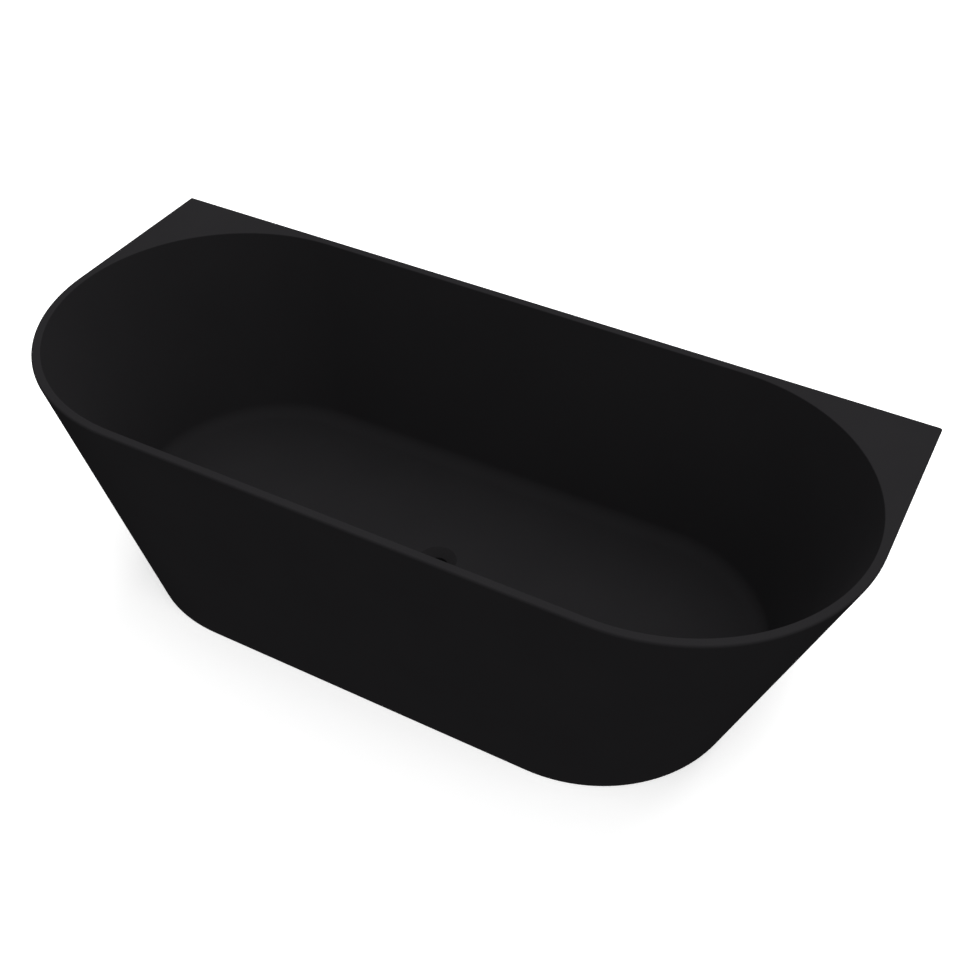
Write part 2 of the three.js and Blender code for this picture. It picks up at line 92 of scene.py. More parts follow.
# Fixings: a nut's face is a share of its flats, and a thread's flank is a slope
ROD_RADIUS = 0.006
ROD_BORE = 0.0063
THREAD_PITCH = 0.00175
THREAD_DEPTH = 0.00095
THREAD_FLANK = 2.2
NUT_FLATS = 0.019
NUT_FACE = 0.96
NUT_LEAD = 0.0006
COLLAR_FLATS = 0.017

# How finely round stretches are divided
ARC_STEPS = 32
SIDE_STEPS = 24
CORNER_STEPS = 4
SHARP_ANGLE = 32


def lean(base, overall):
    """Slope of an outer face that leaves the floor at base and whose rounded top edge reaches overall."""
    slope = (overall - base) / HEIGHT
    for _ in range(8):
        slope = (overall - base + RIM_OUTER_FILLET * (slope + math.hypot(1, slope) - 1)) / HEIGHT
    return slope


END_SLOPE = lean(BASE_HALF_LENGTH, HALF_LENGTH)
FRONT_SLOPE = lean(BASE_FRONT, FRONT)


# ---------------------------------------------------------------- meshes


def finish_piece(name, bm, materials, replaces=(), body="root", weld=1e-6):
    """Turns a bmesh into a smooth-shaded piece that rides on a body."""
    bmesh.ops.remove_doubles(bm, verts=bm.verts, dist=weld)
    bmesh.ops.recalc_face_normals(bm, faces=bm.faces)
    mesh = bpy.data.meshes.new(name)
    bm.to_mesh(mesh)
    bm.free()
    mesh.polygons.foreach_set("use_smooth", [True] * len(mesh.polygons))
    mesh.set_sharp_from_angle(angle=math.radians(SHARP_ANGLE))
    for finish in materials:
        mesh.materials.append(finish)
    piece = bpy.data.objects.new(name, mesh)
    bpy.context.scene.collection.objects.link(piece)
    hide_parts(*replaces)
    if body:
        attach(piece, body)
    return piece


def skin(bm, rings, closed=True, materials=None):
    """Joins rings of equally many points with quads; closed also joins the last ring to the first."""
    rows = [[bm.verts.new(point) for point in ring] for ring in rings]
    count = len(rows[0])
    for band in range(len(rows) if closed else len(rows) - 1):
        low, high = rows[band], rows[(band + 1) % len(rows)]
        for i in range(count):
            j = (i + 1) % count
            face = bm.faces.new((low[i], low[j], high[j], high[i]))
            face.material_index = materials[band] if materials else 0
    return rows


def rounded(corners, steps=4):
    """Closed outline from (x, y, radius) corners: one with a radius becomes an arc of that many steps."""
    points = []
    for i, (x, y, radius) in enumerate(corners):
        here = Vector((x, y))
        if radius == 0:
            points.append((x, y))
            continue
        before = (Vector(corners[i - 1][:2]) - here).normalized()
        after = (Vector(corners[(i + 1) % len(corners)][:2]) - here).normalized()
        half = before.angle(after) / 2
        centre = here + (before + after).normalized() * (radius / math.sin(half))
        start = here + before * (radius / math.tan(half)) - centre
        end = here + after * (radius / math.tan(half)) - centre
        sweep = math.pi - 2 * half
        for k in range(steps + 1):
            share = k / steps
            arm = start * math.sin((1 - share) * sweep) + end * math.sin(share * sweep)
            points.append(tuple(centre + arm / math.sin(sweep)))
    return points


def circle(radius, z, at=(0, 0), segments=96):
    """Level ring of points about a place in X and Y."""
    turns = [2 * math.pi * i / segments for i in range(segments)]
    return [(at[0] + radius * math.cos(a), at[1] + radius * math.sin(a), z) for a in turns]


def lathe(bm, corners, at=(0, 0), ring=False, segments=96, steps=4):
    """Turned solid from (radius, z, fillet) corners: a closed ring, or a profile that ends on the axis."""
    profile = rounded(corners, steps)
    skin(bm, [circle(radius, z, at, segments) for radius, z in profile], closed=ring)


def tube(bm, path, radii, sides=10, loop=False):
    """Round bar swept along a path, with a radius for each point."""
    points = [Vector(point) for point in path]
    last = len(points) - 1
    normal = None
    rings = []
    for i, point in enumerate(points):
        ahead = points[(i + 1) % len(points)] if loop else points[min(i + 1, last)]
        behind = points[i - 1] if loop else points[max(i - 1, 0)]
        tangent = (ahead - behind).normalized()
        normal = tangent.orthogonal() if normal is None else normal - tangent * normal.dot(tangent)
        normal.normalize()
        side = tangent.cross(normal)
        turns = [2 * math.pi * k / sides for k in range(sides)]
        rings.append([point + (normal * math.cos(a) + side * math.sin(a)) * radii[i] for a in turns])
    rows = skin(bm, rings, closed=loop)
    if not loop:
        bm.faces.new(rows[0])
        bm.faces.new(rows[-1])


def weld_bead(bm, path, loop=False, radius=0.0018, ripple=0.12):
    """Rippled weld along a path."""
    radii = [radius * (1 + ripple * math.sin(2.4 * i)) for i in range(len(path))]
    tube(bm, path, radii, sides=8, loop=loop)


def spread(points, gap):
    """Points along a polyline, about a gap apart."""
    path = [Vector(points[0])]
    for start, end in zip(points, points[1:]):
        start, end = Vector(start), Vector(end)
        count = max(1, round((end - start).length / gap))
        path += [start.lerp(end, (i + 1) / count) for i in range(count)]
    return path


def polygon(sides, across_flats, points_per_side=6):
    """Outline of a regular polygon, with points along each side."""
    corner = across_flats / 2 / math.cos(math.pi / sides)
    corners = [
        Vector((math.cos(2 * math.pi * i / sides), math.sin(2 * math.pi * i / sides))) * corner
        for i in range(sides)
    ]
    outline = []
    for i, start in enumerate(corners):
        end = corners[(i + 1) % sides]
        outline += [tuple(start.lerp(end, k / points_per_side)) for k in range(points_per_side)]
    return outline


def nut(bm, at, low, high, across_flats, bore=0.0, sides=6, corner_slope=0.5):
    """Nut or bolt head with its corners turned off at both faces; with no bore it is solid."""
    outline = polygon(sides, across_flats)
    face = across_flats / 2 * NUT_FACE

    def ring(radius, z):
        return [tuple(Vector(point).normalized() * radius + Vector(at)) + (z,) for point in outline]

    def corner_drop(point):
        return max(0.0, (Vector(point).length - face) * corner_slope)

    def outside(z, sign):
        return [(x + at[0], y + at[1], z + sign * corner_drop((x, y))) for x, y in outline]

    lead = NUT_LEAD if bore else 0.0
    rings = [ring(bore, low + lead), ring(bore + lead, low), ring(face, low), outside(low, 1)]
    rings += [outside(high, -1), ring(face, high), ring(bore + lead, high), ring(bore, high - lead)]
    skin(bm, rings, closed=bool(bore))


def thread(bm, at, radius, depth, pitch, low, high, sides=24, rows_per_turn=6):
    """Threaded rod: a round bar whose radius follows a helix, with plain pointed ends."""
    count = round((high - low) / pitch * rows_per_turn)
    rings = [circle(0, low, at, sides), circle(radius - depth, low, at, sides)]
    for row in range(1, count):
        z = low + (high - low) * row / count
        ring = []
        for k in range(sides):
            phase = ((z - low) / pitch - k / sides) % 1
            cut = depth * min(1, THREAD_FLANK * abs(phase - 0.5))
            angle = 2 * math.pi * k / sides
            reach = radius - depth + cut
            ring.append((at[0] + reach * math.cos(angle), at[1] + reach * math.sin(angle), z))
        rings.append(ring)
    rings += [circle(radius - depth, high, at, sides), circle(0, high, at, sides)]
    skin(bm, rings, closed=False)


# ---------------------------------------------------------------- outlines of the bath


def quarter(start):
    """Evenly spaced angles over a quarter turn."""
    return [start + math.pi / 2 * i / ARC_STEPS for i in range(ARC_STEPS + 1)]


def across(centre):
    """Places along a straight side, between the tangents at its two ends."""
    return [centre * (1 - 2 * i / SIDE_STEPS) for i in range(1, SIDE_STEPS)]


def stadium(half_length, half_width, z):
    """Counterclockwise ring of a rectangle with half-round ends, from its front right tangent."""
    centre = half_length - half_width
    angles = quarter(-math.pi / 2) + quarter(0)[1:]
    half = [(centre + half_width * math.cos(a), half_width * math.sin(a)) for a in angles]
    half += [(x, half_width) for x in across(centre)]
    return [(x, y, z) for x, y in half] + [(-x, -y, z) for x, y in half]


def rear_corner(centre, half_length, back, radius):
    """From beside the front arc's centre, round the rear corner, to behind that centre."""
    points = []
    first = (ARC_STEPS - CORNER_STEPS) // 2
    support = 0.0015
    for i, angle in enumerate(quarter(0)):
        step = i - first
        if 0 <= step <= CORNER_STEPS:
            a = math.pi / 2 * step / CORNER_STEPS
            x = half_length - radius + radius * math.cos(a)
            y = back - radius + radius * math.sin(a)
        elif step == -1:
            x, y = half_length, back - radius - support
        elif step == CORNER_STEPS + 1:
            x, y = half_length - radius - support, back
        elif step < 0:
            x, y = half_length, back * math.tan(angle)
        else:
            x, y = centre + (half_length - centre) / math.tan(angle), back
        points.append((x, y))
    return points


def backed(half_length, front, back, corner, z):
    """Ring with two square rear corners and two round front ones, matched point for point to stadium."""
    centre = half_length - front
    right = [(centre + front * math.cos(a), front * math.sin(a)) for a in quarter(-math.pi / 2)]
    right += rear_corner(centre, half_length, back, corner)[1:]
    left = [(-x, y) for x, y in reversed(right)]
    ring = right + [(x, back) for x in across(centre)]
    ring += left + [(-x, -front) for x in across(centre)]
    return [(x, y, z) for x, y in ring]


def skirt_ring(z, inset=0.0):
    """Ring of the bath's outside at height z, moved in square to its faces."""
    return backed(
        BASE_HALF_LENGTH + END_SLOPE * z - inset * math.hypot(1, END_SLOPE),
        BASE_FRONT + FRONT_SLOPE * z - inset * math.hypot(1, FRONT_SLOPE),
        BACK - inset,
        max(REAR_CORNER - inset, 0),
        z,
    )


def outer_edge(depth, slope, fillet=RIM_OUTER_FILLET):
    """How far an outer wall stands inside its corner with the rim's top, a depth below that top."""
    if depth >= fillet * (1 + math.sin(math.atan(slope))):
        return depth * slope
    return fillet * (slope + math.hypot(1, slope)) - math.sqrt(fillet**2 - (fillet - depth) ** 2)


def inner_edge(depth, slope, fillet=RIM_INNER_FILLET):
    """How far a basin wall stands outside its nominal edge, a depth below the rim's rounded inner edge."""
    if depth >= fillet * (1 - math.sin(math.atan(slope))):
        return -depth * slope
    return fillet * (math.hypot(1, slope) - slope) - math.sqrt(fillet**2 - (fillet - depth) ** 2)


def foot_edge(height, slope, fillet):
    """How far a basin wall with a rounded foot stands outside its lower corner, at a height above it."""
    draft = math.atan(slope)
    if height >= fillet * (1 - math.sin(draft)):
        return height * slope
    centre = -fillet * (1 - math.sin(draft)) / math.cos(draft)
    return centre + math.sqrt(max(fillet**2 - (fillet - height) ** 2, 0))


def rim_ring(depth, inset=0.0):
    """Ring of the rim's outside edge, a depth below its top."""
    back_inset = outer_edge(depth, 0, RIM_BACK_FILLET) + inset
    return backed(
        BASE_HALF_LENGTH + END_SLOPE * HEIGHT - outer_edge(depth, END_SLOPE) - inset,
        BASE_FRONT + FRONT_SLOPE * HEIGHT - outer_edge(depth, FRONT_SLOPE) - inset,
        BACK - back_inset,
        max(REAR_CORNER - back_inset, 0),
        HEIGHT - depth,
    )


def basin_ring(z):
    """Ring of the basin's surface at height z."""
    length = TOP_HALF_LENGTH + inner_edge(HEIGHT - z, BASIN_END_SLOPE)
    width = TOP_HALF_WIDTH + inner_edge(HEIGHT - z, BASIN_SIDE_SLOPE)
    if z < FLOOR_EDGE + BASIN_FILLET:
        length = BASIN_HALF_LENGTH + foot_edge(z - FLOOR_EDGE, BASIN_END_SLOPE, BASIN_FILLET)
        width = BASIN_HALF_WIDTH + foot_edge(z - FLOOR_EDGE, BASIN_SIDE_SLOPE, BASIN_FILLET)
    return stadium(length, width, z)


def vessel_ring(z):
    """Ring of the tub's hidden outside at height z, one shell thickness outside the basin."""
    fillet = BASIN_FILLET + SHELL
    drop = FLOOR_EDGE - SHELL_UNDERSIDE
    height = z - SHELL_UNDERSIDE
    length = BASIN_HALF_LENGTH + SHELL * math.hypot(1, BASIN_END_SLOPE) - drop * BASIN_END_SLOPE
    width = BASIN_HALF_WIDTH + SHELL * math.hypot(1, BASIN_SIDE_SLOPE) - drop * BASIN_SIDE_SLOPE
    length += foot_edge(height, BASIN_END_SLOPE, fillet)
    width += foot_edge(height, BASIN_SIDE_SLOPE, fillet)
    return stadium(length, width, z)


def foot_heights(fillet, steps=14):
    """Heights that step evenly round the foot of a wall and end just above it."""
    sweep, above = 83, 0.93
    turns = [math.radians(sweep) * i / steps for i in range(steps + 1)]
    return [fillet * (1 - math.cos(turn)) for turn in turns] + [fillet * above]


def between(low, high, share):
    """Ring part of the way from one ring to another."""
    return [tuple(Vector(a).lerp(Vector(b), share)) for a, b in zip(low, high)]


def on_rays(ring, radius, z):
    """Circle about the drain with its points in the same directions as a ring's."""
    return [tuple(Vector((x, y)).normalized() * radius) + (z,) for x, y, _ in ring]


# ---------------------------------------------------------------- tub and skirt


WALL_DEPTHS = (0.0025, 0.010, 0.060, 0.140, 0.230, 0.320, 0.380)
SKIRT_LEVELS = (0.080, 0.160, 0.240, 0.320, 0.400, 0.480)
OPENING_HALF_WIDTH = 0.260
OPENING_HEIGHT = 0.260
OPENING_CORNER = 0.040


def tub_shell(acrylic, resin):
    """Rim, basin, drain recess, drain cup and reinforced underside as one closed skin."""
    drain_top = stadium(3 * RECESS_RADIUS, 1.5 * RECESS_RADIUS, FLOOR_DRAIN)
    rings = [skirt_ring(HEIGHT - RIM_THICKNESS)]
    first, last, steps = -18, 90, 14
    turns = [math.radians(first + (last - first) * i / steps) for i in range(steps + 1)]
    depths = [RIM_OUTER_FILLET * (1 - math.sin(turn)) for turn in turns]
    depths += [RIM_BACK_FILLET * share for share in (1, 0.6, 0.3)]
    rings += [rim_ring(depth) for depth in sorted(depths, reverse=True)]
    rings += [rim_ring(0, 0.0005), rim_ring(0, 0.003)]
    edge = basin_ring(HEIGHT)
    rings += [[(x, y, HEIGHT) for x, y, _ in between(edge, rings[-1], share)] for share in (0.3, 0.03)]
    steps = 8
    turns = [math.radians(90 * i / steps) for i in range(steps + 1)]
    rings += [basin_ring(HEIGHT - RIM_INNER_FILLET * (1 - math.cos(turn))) for turn in turns]
    rings += [basin_ring(HEIGHT - depth) for depth in WALL_DEPTHS]
    rings += [basin_ring(FLOOR_EDGE + height) for height in reversed(foot_heights(BASIN_FILLET))]
    foot = rings[-1]
    rings += [between(foot, drain_top, share) for share in (0.01, 0.2, 0.5, 0.8, 1)]
    seat = [
        (RECESS_RADIUS + 0.0003, FLOOR_DRAIN),
        (RECESS_RADIUS, FLOOR_DRAIN - 0.0002),
        (RECESS_RADIUS, FLOOR_DRAIN - 0.0026),
        (RECESS_FOOT, FLOOR_DRAIN - 0.0074),
        (RECESS_FOOT, SEAT_TOP),
        (SHELL_HOLE, SEAT_TOP),
    ]
    rings += [on_rays(drain_top, radius, z) for radius, z in seat]
    shown = len(rings)
    cup = [
        (SHELL_HOLE, CUP_BOTTOM),
        (CUP_RADIUS - 0.001, CUP_BOTTOM),
        (CUP_RADIUS, CUP_BOTTOM + 0.001),
        (CUP_RADIUS, SHELL_UNDERSIDE),
    ]
    rings += [on_rays(drain_top, radius, z) for radius, z in cup]
    low = vessel_ring(SHELL_UNDERSIDE)
    under = stadium(3 * RECESS_RADIUS, 1.5 * RECESS_RADIUS, SHELL_UNDERSIDE)
    rings += [under, between(under, low, 0.5), between(under, low, 0.98)]
    rings += [vessel_ring(SHELL_UNDERSIDE + height) for height in foot_heights(BASIN_FILLET + SHELL)]
    rings += [vessel_ring(z) for z in (0.2, 0.3, 0.4, 0.5, HEIGHT - RIM_THICKNESS)]
    bands = [0] * (shown - 1) + [1] * (len(rings) - shown + 1)
    bm = bmesh.new()
    skin(bm, rings, materials=bands)
    return finish_piece("tub_shell", bm, [acrylic, resin], ["inner_shell"])


def skirt_shell(acrylic, resin):
    """Tapered outside of the bath, reinforced inside, with a service opening low in its back."""
    top = HEIGHT - RIM_THICKNESS
    levels = [SKIRT_EDGE, *SKIRT_LEVELS, top]
    rings = [skirt_ring(0, SKIRT_EDGE)] + [skirt_ring(z) for z in levels]
    shown = len(rings)
    rings += [skirt_ring(z, SKIRT) for z in reversed(levels)]
    rings.append(skirt_ring(0, SKIRT - SKIRT_EDGE))
    bands = [0] * (shown - 1) + [1] * (len(rings) - shown + 1)
    bm = bmesh.new()
    skin(bm, rings, materials=bands)
    skirt = finish_piece("skirt_shell", bm, [acrylic, resin], ["outer_skirt"], body=None)
    below = -0.01
    opening = rounded([
        (-OPENING_HALF_WIDTH, below, 0),
        (OPENING_HALF_WIDTH, below, 0),
        (OPENING_HALF_WIDTH, OPENING_HEIGHT, OPENING_CORNER),
        (-OPENING_HALF_WIDTH, OPENING_HEIGHT, OPENING_CORNER),
    ], 12)
    cut_through(skirt, opening, BACK - 4 * SKIRT, BACK + SKIRT)
    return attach(skirt, "root")


def cut_through(piece, outline, near, far):
    """Cuts an outline drawn in X and Z through a piece, from one Y to another."""
    bm = bmesh.new()
    rows = skin(bm, [[(x, y, z) for x, z in outline] for y in (near, far)], closed=False)
    for row in rows:
        bm.faces.new(row)
    bmesh.ops.recalc_face_normals(bm, faces=bm.faces)
    mesh = bpy.data.meshes.new("cutter")
    bm.to_mesh(mesh)
    bm.free()
    cutter = bpy.data.objects.new("cutter", mesh)
    bpy.context.scene.collection.objects.link(cutter)
    modifier = piece.modifiers.new("cut", "BOOLEAN")
    modifier.operation = "DIFFERENCE"
    modifier.solver = "EXACT"
    modifier.object = cutter
    cut = bpy.data.meshes.new_from_object(piece.evaluated_get(bpy.context.evaluated_depsgraph_get()))
    piece.modifiers.clear()
    piece.data = cut
    cut.set_sharp_from_angle(angle=math.radians(SHARP_ANGLE))
    bpy.data.objects.remove(cutter)


# ---------------------------------------------------------------- board and frame

PLACES = [f"{side}_{end}" for side in ("front", "rear") for end in ("left", "middle", "right")]
TUBE_WALL = 0.002
TUBE_CORNER = 0.004
WELD_GAP = 0.0022
WELD_STANDOFF = 0.0003
WELD_SPACING = 0.0012
NUT_WELD_RADIUS = 0.0112
NUT_WELD_DROP = 0.0004
BOARD_EDGE = 0.001
BOARD_HOLE_GAP = 0.003


def middle(node):
    """Centre of a CAD node's box."""
    low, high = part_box(node)
    return (low + high) / 2


def base_board(wood):
    """Plywood board under the basin, with eased edges and a hole round the drain cup."""
    low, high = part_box("base_board")
    hole = CUP_RADIUS + BOARD_HOLE_GAP
    outline = [(high.x, high.y, low.z + BOARD_EDGE), (high.x, high.y, high.z - BOARD_EDGE)]
    outline += [(high.x - BOARD_EDGE, high.y - BOARD_EDGE, high.z)]
    rings = [stadium(high.x - BOARD_EDGE, high.y - BOARD_EDGE, low.z)]
    rings += [stadium(length, width, z) for length, width, z in outline]
    rings += [on_rays(rings[0], hole, high.z), on_rays(rings[0], hole, low.z)]
    bm = bmesh.new()
    skin(bm, rings)
    finish_piece("plywood_base_board", bm, [wood], ["base_board"])


def square_tube(bm, centre, length, width, along_y=False):
    """Square steel tube with rounded corners and open ends."""

    def ring(half, corner, end):
        signs = ((-1, -1), (1, -1), (1, 1), (-1, 1))
        outline = rounded([(half * u, half * v, corner) for u, v in signs], 5)
        if along_y:
            return [(centre.x + u, centre.y + end, centre.z + v) for u, v in outline]
        return [(centre.x + end, centre.y + u, centre.z + v) for u, v in outline]

    half = width / 2
    ends = (-length / 2, length / 2)
    rings = [ring(half, TUBE_CORNER, end) for end in ends]
    rings += [ring(half - TUBE_WALL, TUBE_CORNER - TUBE_WALL, end) for end in reversed(ends)]
    skin(bm, rings)


def frame_rail(side, steel):
    """Rail with a nut welded under it at each foot."""
    low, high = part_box(f"frame_rail_{side}")
    width = high.y - low.y
    centre = Vector(((low.x + high.x) / 2, (low.y + high.y) / 2, high.z - width / 2))
    bm = bmesh.new()
    square_tube(bm, centre, high.x - low.x, width)
    underside = high.z - width
    for end in ("left", "middle", "right"):
        at = middle(f"foot_rod_{side}_{end}").xy
        nut(bm, at, low.z, underside, NUT_FLATS, bore=ROD_BORE)
        weld_bead(bm, circle(NUT_WELD_RADIUS, underside - NUT_WELD_DROP, at, 40), loop=True)
    finish_piece(f"rail_{side}", bm, [steel], [f"frame_rail_{side}"])


def frame_cross(name, steel):
    """Cross member, welded to both rails round its sides and underside."""
    low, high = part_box(f"frame_cross_{name}")
    width = high.x - low.x
    centre = (low + high) / 2
    bm = bmesh.new()
    square_tube(bm, centre, high.y - low.y, width, along_y=True)
    side = width / 2 + WELD_STANDOFF
    for y in (low.y, high.y):
        corners = [
            (centre.x - side, y, high.z - WELD_GAP),
            (centre.x - side, y, low.z + TUBE_CORNER),
            (centre.x - side + TUBE_CORNER, y, low.z),
            (centre.x + side - TUBE_CORNER, y, low.z),
            (centre.x + side, y, low.z + TUBE_CORNER),
            (centre.x + side, y, high.z - WELD_GAP),
        ]
        weld_bead(bm, spread(corners, WELD_SPACING))
    finish_piece(f"cross_member_{name}", bm, [steel], [f"frame_cross_{name}"])


def rail_bolt(name, zinc):
    """Hexagon bolt with a washer face and a pointed end, up through the rail into the board."""
    low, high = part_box(name)
    at = middle(name).xy
    flats, face, shank, tip = 0.013, 0.0064, 0.0040, 0.0030
    hexagon_top, face_low, face_high = low.z + 0.0036, low.z + 0.0030, low.z + 0.0040
    bm = bmesh.new()
    nut(bm, at, low.z, hexagon_top, flats)
    lathe(bm, [
        (0, face_low, 0),
        (face, face_low, 0),
        (face, face_high, 0.0003),
        (shank, face_high, 0),
        (shank, high.z - 0.002, 0),
        (tip, high.z, 0),
        (0, high.z, 0),
    ], at, segments=32)
    finish_piece(name.replace("rail_bolt", "hex_bolt"), bm, [zinc], [name])


def bracket_screw(name, zinc):
    """Self-drilling screw with a flanged hexagon head."""
    low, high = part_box(name)
    at = middle(name).xy
    flats, flange, shank = 0.0062, 0.0050, 0.0023
    hexagon_top, flange_high = low.z + 0.0024, low.z + 0.0030
    bm = bmesh.new()
    nut(bm, at, low.z, hexagon_top, flats)
    lathe(bm, [
        (0, low.z + 0.0018, 0),
        (0.0048, low.z + 0.0022, 0.0003),
        (flange, flange_high, 0.0002),
        (shank, flange_high, 0),
        (shank, high.z - 0.004, 0),
        (0, high.z, 0),
    ], at, segments=32)
    finish_piece(name.replace("bracket_screw", "flange_screw"), bm, [zinc], [name])


# ---------------------------------------------------------------- feet

COLLAR_BELOW_NUT = (0.011, 0.002)
PAD_RIBS = 12
PAD_SOCKET = 0.0068
PAD_SOCKET_FLOOR = 0.006
RIB_HALF_THICKNESS = 0.0009


def foot_rod(place, zinc):
    """Threaded rod with a hexagon collar for the spanner, turned round by the joint."""
    name = f"foot_rod_{place}"
    low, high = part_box(name)
    at = middle(name).xy
    nut_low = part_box(f"lock_nut_{place}")[0].z
    collar_low, collar_high = (nut_low - drop for drop in COLLAR_BELOW_NUT)
    bm = bmesh.new()
    thread(bm, at, ROD_RADIUS, THREAD_DEPTH, THREAD_PITCH, low.z, high.z)
    nut(bm, at, collar_low, collar_high, COLLAR_FLATS)
    finish_piece(f"threaded_rod_{place}", bm, [zinc], [name], body=f"rod_{place}")


def lock_nut(place, zinc):
    """Nut that locks a foot's rod against the rail."""
    name = f"lock_nut_{place}"
    low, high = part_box(name)
    bm = bmesh.new()
    nut(bm, middle(name).xy, low.z, high.z, NUT_FLATS, bore=ROD_BORE)
    finish_piece(f"hex_lock_nut_{place}", bm, [zinc], [name])


def foot_pad(place, plastic):
    """Moulded pad: a foot disc, a socket for the rod, and ribs between them."""
    name = f"foot_pad_{place}"
    low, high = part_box(name)
    radius = (high.x - low.x) / 2
    at = middle(name).xy
    bm = bmesh.new()
    lathe(bm, [
        (0, low.z, 0),
        (radius, low.z, 0.0010),
        (radius, low.z + 0.006, 0.0015),
        (0.0125, low.z + 0.0085, 0.0030),
        (0.0110, high.z, 0.0008),
        (PAD_SOCKET, high.z, 0.0004),
        (PAD_SOCKET, low.z + PAD_SOCKET_FLOOR, 0.0004),
        (0, low.z + PAD_SOCKET_FLOOR, 0),
    ], at, segments=64)
    for i in range(PAD_RIBS):
        pad_rib(bm, at, 2 * math.pi * i / PAD_RIBS, radius, low.z, high.z)
    finish_piece(f"levelling_pad_{place}", bm, [plastic], [name], body=f"foot_{place}")


def pad_rib(bm, at, angle, radius, bottom, top):
    """Thin web from the socket down to the disc's edge."""
    profile = [
        (0.010, bottom + 0.004),
        (radius - 0.0025, bottom + 0.004),
        (radius - 0.0035, bottom + 0.0068),
        (0.0130, bottom + 0.0145),
        (0.0105, top - 0.0012),
    ]
    turn = Matrix.Rotation(angle, 3, "Z")
    base = Vector((at[0], at[1], 0))
    sides = (-RIB_HALF_THICKNESS, RIB_HALF_THICKNESS)
    rows = [[base + turn @ Vector((r, side, z)) for r, z in profile] for side in sides]
    webs = skin(bm, rows, closed=False)
    for web in webs:
        bm.faces.new(web)


# ---------------------------------------------------------------- waste and plug

# Radii of the waste
THROAT_RADIUS = 0.022
LEDGE_RADIUS = 0.018
TAIL_BORE = 0.020
TAIL_ROOT = 0.0228
TAIL_CREST = 0.0239

# Heights of the waste, and the pitch of its thread
TAIL_FOOT = 0.050
TAIL_PITCH = 0.0023
LEDGE_UNDERSIDE = 0.081
LEDGE_TOP = 0.0852
TAIL_THREAD_TOP = 0.0960
TAIL_SHOULDER = 0.0985
FLANGE_UNDERSIDE = 0.1103
THROAT_TOP = 0.113
DISH_LOW = 0.1202
DISH_HIGH = 0.1252

# Rings and nuts round the waste
GASKET_BORE = 0.0243
WASHER_BORE = 0.0244
BACK_NUT_FLATS = 0.0573
BACK_NUT_FLANGE = 0.035
BACK_NUT_LUGS = 8

# Plug and click mechanism
HUB_BORE = 0.0046
SLEEVE_RADIUS = 0.0066
SLEEVE_RIB = 0.0070
SLEEVE_RIBS = 4
PLUG_BOTTOM = 0.0859
PLUG_STEP = 0.0886
PLUG_EDGE = 0.0909
PLUG_SHOULDER = 0.0913
PLUG_TOP = 0.0917
PLUG_CORE = 0.0168
PLUG_RADIUS = 0.0206
SEAL_BORE = 0.01725
STEM_RADIUS = 0.004
STEM_GROOVE = 0.0032


def waste_body(finish):
    """Dished flange, throat, plug ledge and threaded tail in one."""
    edge = RECESS_RADIUS - 0.00005
    neck = RECESS_FOOT - 0.001
    profile = [
        (THROAT_RADIUS, THROAT_TOP, 0.0008),
        (THROAT_RADIUS, LEDGE_TOP, 0),
        (LEDGE_RADIUS, LEDGE_TOP, 0.0004),
        (LEDGE_RADIUS, LEDGE_UNDERSIDE, 0.0004),
        (TAIL_BORE, LEDGE_UNDERSIDE, 0),
        (TAIL_BORE, TAIL_FOOT, 0.0005),
    ]
    ridges = round((TAIL_THREAD_TOP - TAIL_FOOT) / TAIL_PITCH)
    for i in range(ridges):
        z = TAIL_FOOT + TAIL_PITCH * i
        profile += [
            (TAIL_ROOT, z, 0),
            (TAIL_CREST, z + 0.4 * TAIL_PITCH, 0.0001),
            (TAIL_CREST, z + 0.6 * TAIL_PITCH, 0.0001),
        ]
    profile += [
        (TAIL_ROOT, TAIL_FOOT + TAIL_PITCH * ridges, 0),
        (TAIL_CREST, TAIL_SHOULDER, 0),
        (TAIL_CREST, FLANGE_UNDERSIDE, 0),
        (neck, FLANGE_UNDERSIDE, 0.0005),
        (neck, DISH_LOW, 0),
        (edge, DISH_HIGH, 0.0003),
        (edge, FLOOR_DRAIN, 0.0002),
    ]
    bm = bmesh.new()
    lathe(bm, profile, ring=True, segments=160, steps=5)
    finish_piece("waste_flange_and_tail", bm, [finish], ["waste_body"])


def back_nut(finish):
    """Flanged nut with grip lugs, which draws the waste down on the tub."""
    low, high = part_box("waste_back_nut")
    flange_low = high.z - 0.003
    bm = bmesh.new()
    nut(bm, (0, 0), low.z, high.z - 0.001, BACK_NUT_FLATS, bore=WASHER_BORE, sides=8)
    lathe(bm, [
        (WASHER_BORE, flange_low, 0),
        (BACK_NUT_FLANGE, flange_low, 0.0006),
        (BACK_NUT_FLANGE, high.z, 0.0006),
        (WASHER_BORE, high.z, 0),
    ], ring=True)
    for i in range(BACK_NUT_LUGS):
        angle = 2 * math.pi * (i + 0.5) / BACK_NUT_LUGS
        arm = Vector((math.cos(angle), math.sin(angle)))
        path = [(arm * 0.0288).to_3d() + Vector((0, 0, z)) for z in (low.z + 0.001, flange_low)]
        tube(bm, path, [0.0019, 0.0019], sides=12)
    finish_piece("flanged_back_nut", bm, [finish], ["waste_back_nut"])


def washer(node, name, finish, ease, bore=WASHER_BORE):
    """Flat ring the size of a CAD node, with eased edges."""
    low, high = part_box(node)
    corners = [(bore, low.z), (high.x, low.z), (high.x, high.z), (bore, high.z)]
    bm = bmesh.new()
    lathe(bm, [(radius, z, ease) for radius, z in corners], ring=True)
    finish_piece(name, bm, [finish], [node])


